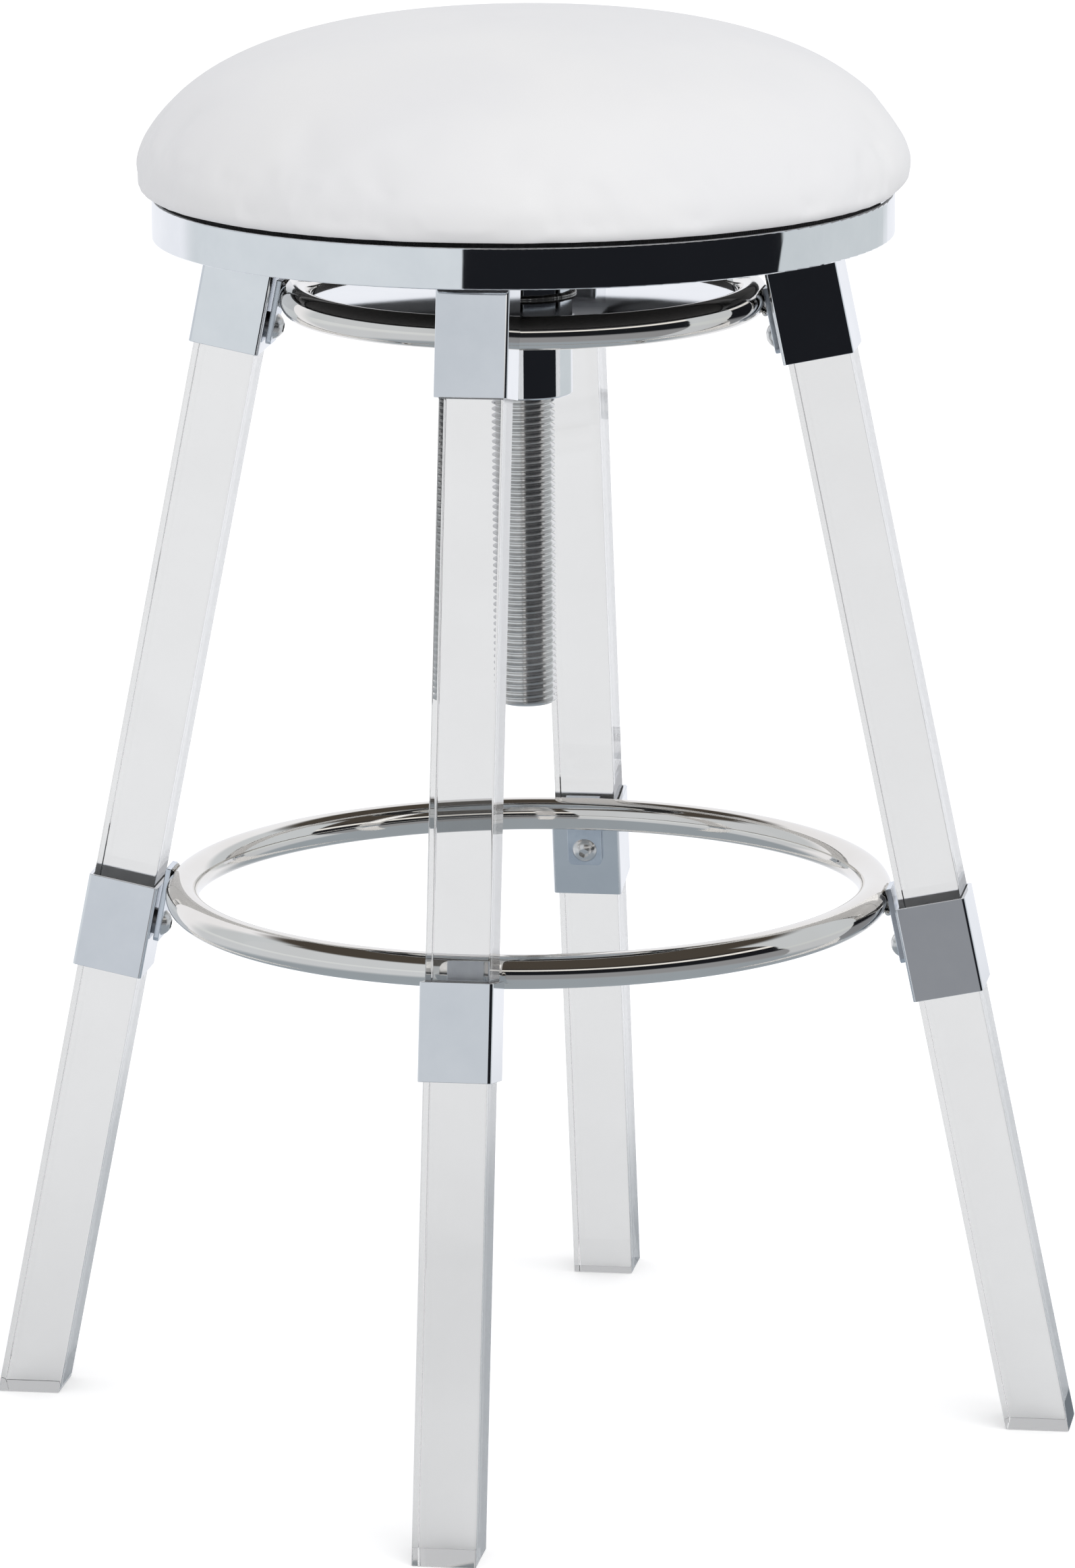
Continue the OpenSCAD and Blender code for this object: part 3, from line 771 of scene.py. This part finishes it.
def makeWeldBeads():
    points, edges, thick = [], [], []
    for node in ("foot_welds", "deck_welds"):
        for a, b, radius in sorted(islandEnds(node), key=lambda rod: tuple(round(x, 4) for x in rod[0])):
            inset = (b - a).normalized() * radius * weld["inset"]
            edges.append((len(points), len(points) + 1))
            points += [a + inset, b - inset]
            thick += [radius * weld["fat"]] * 2
    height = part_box("hub_weld")[0].z + weld["hubBead"] * weld["hubUp"]
    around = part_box("hub")[1].x + weld["hubBead"] * weld["hubOut"]
    first = len(points)
    for i in range(weld["hubSteps"]):
        a = math.tau * i / weld["hubSteps"]
        points.append(Vector((around * math.cos(a), around * math.sin(a), height)))
        edges.append((first + i, first + (i + 1) % weld["hubSteps"]))
        thick.append(weld["hubBead"])
    paths = bpy.data.meshes.new("weldPaths")
    paths.from_pydata([tuple(p) for p in points], edges, [])
    layer = paths.attributes.new("thick", "FLOAT", "POINT")
    layer.data.foreach_set("value", thick)
    mesh = grownMesh(makeBeadTree(), "weldBeads", paths, Step=weld["step"],
                     Smallest=weld["smallest"], Largest=weld["largest"], Seed=weld["seed"],
                     Material=tubeChrome)
    addPiece("weldBeads", mesh, tubeChrome, "frame", "chrome", "foot_welds", "deck_welds", "hub_weld")


makeWeldBeads()
print("welds laid")


# plated parts: edges eased, as after pressing and polishing

eased = {"sleeve": 0.45 * mm, "tab": 0.4 * mm, "leg": 0.35 * mm, "hub": 0.5 * mm, "hoop": 0.2 * mm,
         "hoopSharp": 50, "gap": 0.12 * mm}

for side in headings:
    softenedCopy("leg_" + side, "legBar_" + side, clearAcrylic, "frame", "clear_acrylic", eased["leg"],
                 inset=eased["gap"])
    for level in ("upper", "lower"):
        lineInside(softenedCopy(f"{level}_sleeve_{side}", f"{level}Sleeve_{side}", plateChrome, "frame",
                                "chrome", eased["sleeve"]), sleeveInside)
    for level in ("foot", "deck"):
        softenedCopy(f"{level}_tab_{side}", f"{level}Tab_{side}", tabPlate, "frame", "chrome", eased["tab"])
softenedCopy("hub", "hubTube", plateChrome, "frame", "chrome", eased["hub"])
softenedCopy("seat_hoop", "seatHoop", plateChrome, "seat", "chrome", eased["hoop"], eased["hoopSharp"])
softenedCopy("seat_spider", "seatSpider", blackPaint, "seat", "black_steel", eased["tab"])
for node, material in (
        ("deck_plate", plateChrome), ("foot_screws", screwZinc), ("deck_screws", screwZinc),
        ("foot_inserts", bareSteel), ("deck_inserts", bareSteel), ("hub_nut", bareSteel),
        ("thrust_washer", washerNylon), ("screw_clip", bareSteel), ("screw_plate", blackPaint),
        ("plate_bolts", screwZinc), ("board_screws", screwZinc), ("seat_board", seatPlywood)):
    dress(nodes[node], material)
print("plated parts eased")


# cushion

pad = {"skirt": 15.5 * mm, "edge": 12 * mm, "fullness": 0.72, "dome": 1.3, "shrink": 2.5 * mm,
       "rimStep": 9, "domeRows": 40, "columns": 128, "voxel": 5 * mm,
       "stapled": 2 * mm, "pressure": 4.0, "stiffness": 25, "quality": 6, "frames": 20, "cap": 4 * mm,
       "calm": 30 * mm, "smoothing": 6}


def padProfile(low, high, shrink):
    # a rounded lower rim, then a full dome up to the crown
    radius = (high.x - low.x) / 2 - shrink
    crown = high.z - low.z - pad["skirt"] - shrink
    edge = pad["edge"] - shrink
    rim = [math.radians(d) for d in range(0, 90, pad["rimStep"])]
    dome = [math.pi / 2 * i / pad["domeRows"] for i in range(pad["domeRows"])]
    line = [(radius - edge + edge * math.sin(a), low.z + edge - edge * math.cos(a)) for a in rim]
    line += [(radius * math.cos(a) ** pad["fullness"],
              low.z + pad["skirt"] + crown * math.sin(a) ** pad["dome"]) for a in dome]
    return line, low.z + pad["skirt"] + crown


def latheSolid(line, topZ, lowZ, columns, name):
    points, faces = [], []
    for r, z in line:
        points += [(r * math.cos(math.tau * c / columns), r * math.sin(math.tau * c / columns), z)
                   for c in range(columns)]
    for i in range(len(line) - 1):
        for c in range(columns):
            d = (c + 1) % columns
            faces.append((i * columns + c, i * columns + d, (i + 1) * columns + d, (i + 1) * columns + c))
    points += [(0, 0, lowZ), (0, 0, topZ)]
    under, over = len(points) - 2, len(points) - 1
    last = (len(line) - 1) * columns
    for c in range(columns):
        d = (c + 1) % columns
        faces += [(under, d, c), (over, last + c, last + d)]
    return meshOf(points, faces, name)


def makeCushion():
    low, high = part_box("seat_cover")
    line, topZ = padProfile(low, high, pad["shrink"])
    blank = bpy.data.objects.new("padBlank", latheSolid(line, topZ, low.z, pad["columns"], "padBlank"))
    scene.collection.objects.link(blank)
    remesh = blank.modifiers.new("even", "REMESH")
    remesh.mode, remesh.voxel_size = "VOXEL", pad["voxel"]
    mesh = bpy.data.meshes.new_from_object(blank.evaluated_get(bpy.context.evaluated_depsgraph_get()))
    bpy.data.objects.remove(blank)
    mesh.name = "cushion"
    inflate(mesh, low)
    fillBox(mesh, low, high)
    piece = addPiece("cushion", mesh, whiteVinyl, "seat", "white_vinyl", "seat_cover", "seat_foam")
    finer = piece.modifiers.new("finer", "SUBSURF")
    finer.levels = finer.render_levels = 1


def fillBox(mesh, low, high):
    # evens the top, then takes the pad out to its finished radius and height
    work = bmesh.new()
    work.from_mesh(mesh)
    above = [v for v in work.verts if v.co.z > low.z + pad["calm"]]
    for _ in range(pad["smoothing"]):
        bmesh.ops.smooth_vert(work, verts=above, factor=0.5, use_axis_x=True, use_axis_y=True,
                              use_axis_z=True)
    wide = max(math.hypot(v.co.x, v.co.y) for v in work.verts)
    tall = max(v.co.z for v in work.verts) - low.z
    outward, upward = (high.x - low.x) / 2 / wide, (high.z - low.z) / tall
    for v in work.verts:
        v.co.x *= outward
        v.co.y *= outward
        v.co.z = low.z + (v.co.z - low.z) * upward
    work.to_mesh(mesh)
    work.free()


def inflate(mesh, low):
    # the cover swells against its stapled underside
    body = bpy.data.objects.new("padCloth", mesh)
    scene.collection.objects.link(body)
    rest = [v.co.copy() for v in mesh.vertices]
    pinned = body.vertex_groups.new(name="stapled")
    pinned.add([v.index for v in mesh.vertices if v.co.z < low.z + pad["stapled"]], 1.0, "REPLACE")
    cloth = body.modifiers.new("cloth", "CLOTH")
    cloth.settings.quality = pad["quality"]
    cloth.settings.use_pressure = True
    cloth.settings.uniform_pressure_force = pad["pressure"]
    cloth.settings.vertex_group_mass = "stapled"
    cloth.settings.effector_weights.gravity = 0
    cloth.settings.tension_stiffness = cloth.settings.compression_stiffness = pad["stiffness"]
    for step in range(1, pad["frames"] + 1):
        scene.frame_set(step)
    swollen = body.evaluated_get(bpy.context.evaluated_depsgraph_get()).data
    moved = [v.co.copy() for v in swollen.vertices]
    scene.frame_set(1)
    body.modifiers.clear()
    bpy.data.objects.remove(body)
    for v, before, after in zip(mesh.vertices, rest, moved):
        shift = after - before
        if shift.length > pad["cap"]:
            shift *= pad["cap"] / shift.length
        v.co = before + shift


makeCushion()
print("cushion filled")


# black cloth wrapped round the seat board

# bend lists how far in from the rim and how far up the cloth turns
wrap = {"columns": 240, "rings": 14, "thick": 0.72 * mm, "pucker": 0.12 * mm, "flatUnder": 1 * mm,
        "bend": ((2.5 * mm, 0), (0.9 * mm, 0.4 * mm), (0.3 * mm, 1.5 * mm), (0.1 * mm, 5 * mm), (0, 9 * mm))}


def clothLift(turn, share):
    # slight gathers that grow toward the rim
    return wrap["pucker"] * (1 + math.sin(17 * turn + 1.3) * math.sin(5 * turn)) * share ** 6


def makeUnderClothPiece():
    # one round sheet, drawn flat over the board's underside and up its side
    low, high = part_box("under_cloth")
    outer = (high.x - low.x) / 2
    rows = [(outer * k / wrap["rings"], low.z) for k in range(1, wrap["rings"])]
    rows += [(outer - inward, low.z + up) for inward, up in wrap["bend"]] + [(outer, high.z)]
    points, faces = [(0, 0, low.z)], []
    n = wrap["columns"]
    turns = [math.tau * c / n for c in range(n)]
    for r, z in rows:
        flat = z < low.z + wrap["flatUnder"]
        points += [(r * math.cos(a), r * math.sin(a), z + (clothLift(a, r / outer) if flat else 0))
                   for a in turns]
    faces += [(0, 1 + (c + 1) % n, 1 + c) for c in range(n)]
    for i in range(len(rows) - 1):
        for c in range(n):
            d = (c + 1) % n
            faces.append((1 + i * n + c, 1 + i * n + d, 1 + (i + 1) * n + d, 1 + (i + 1) * n + c))
    mesh = meshOf(points, faces, "underCloth")
    piece = addPiece("underCloth", mesh, blackUnderCloth, "seat", "black_cloth", "under_cloth")
    solid = piece.modifiers.new("thick", "SOLIDIFY")
    solid.thickness, solid.offset = wrap["thick"], -1


makeUnderClothPiece()
print("under-cloth wrapped")
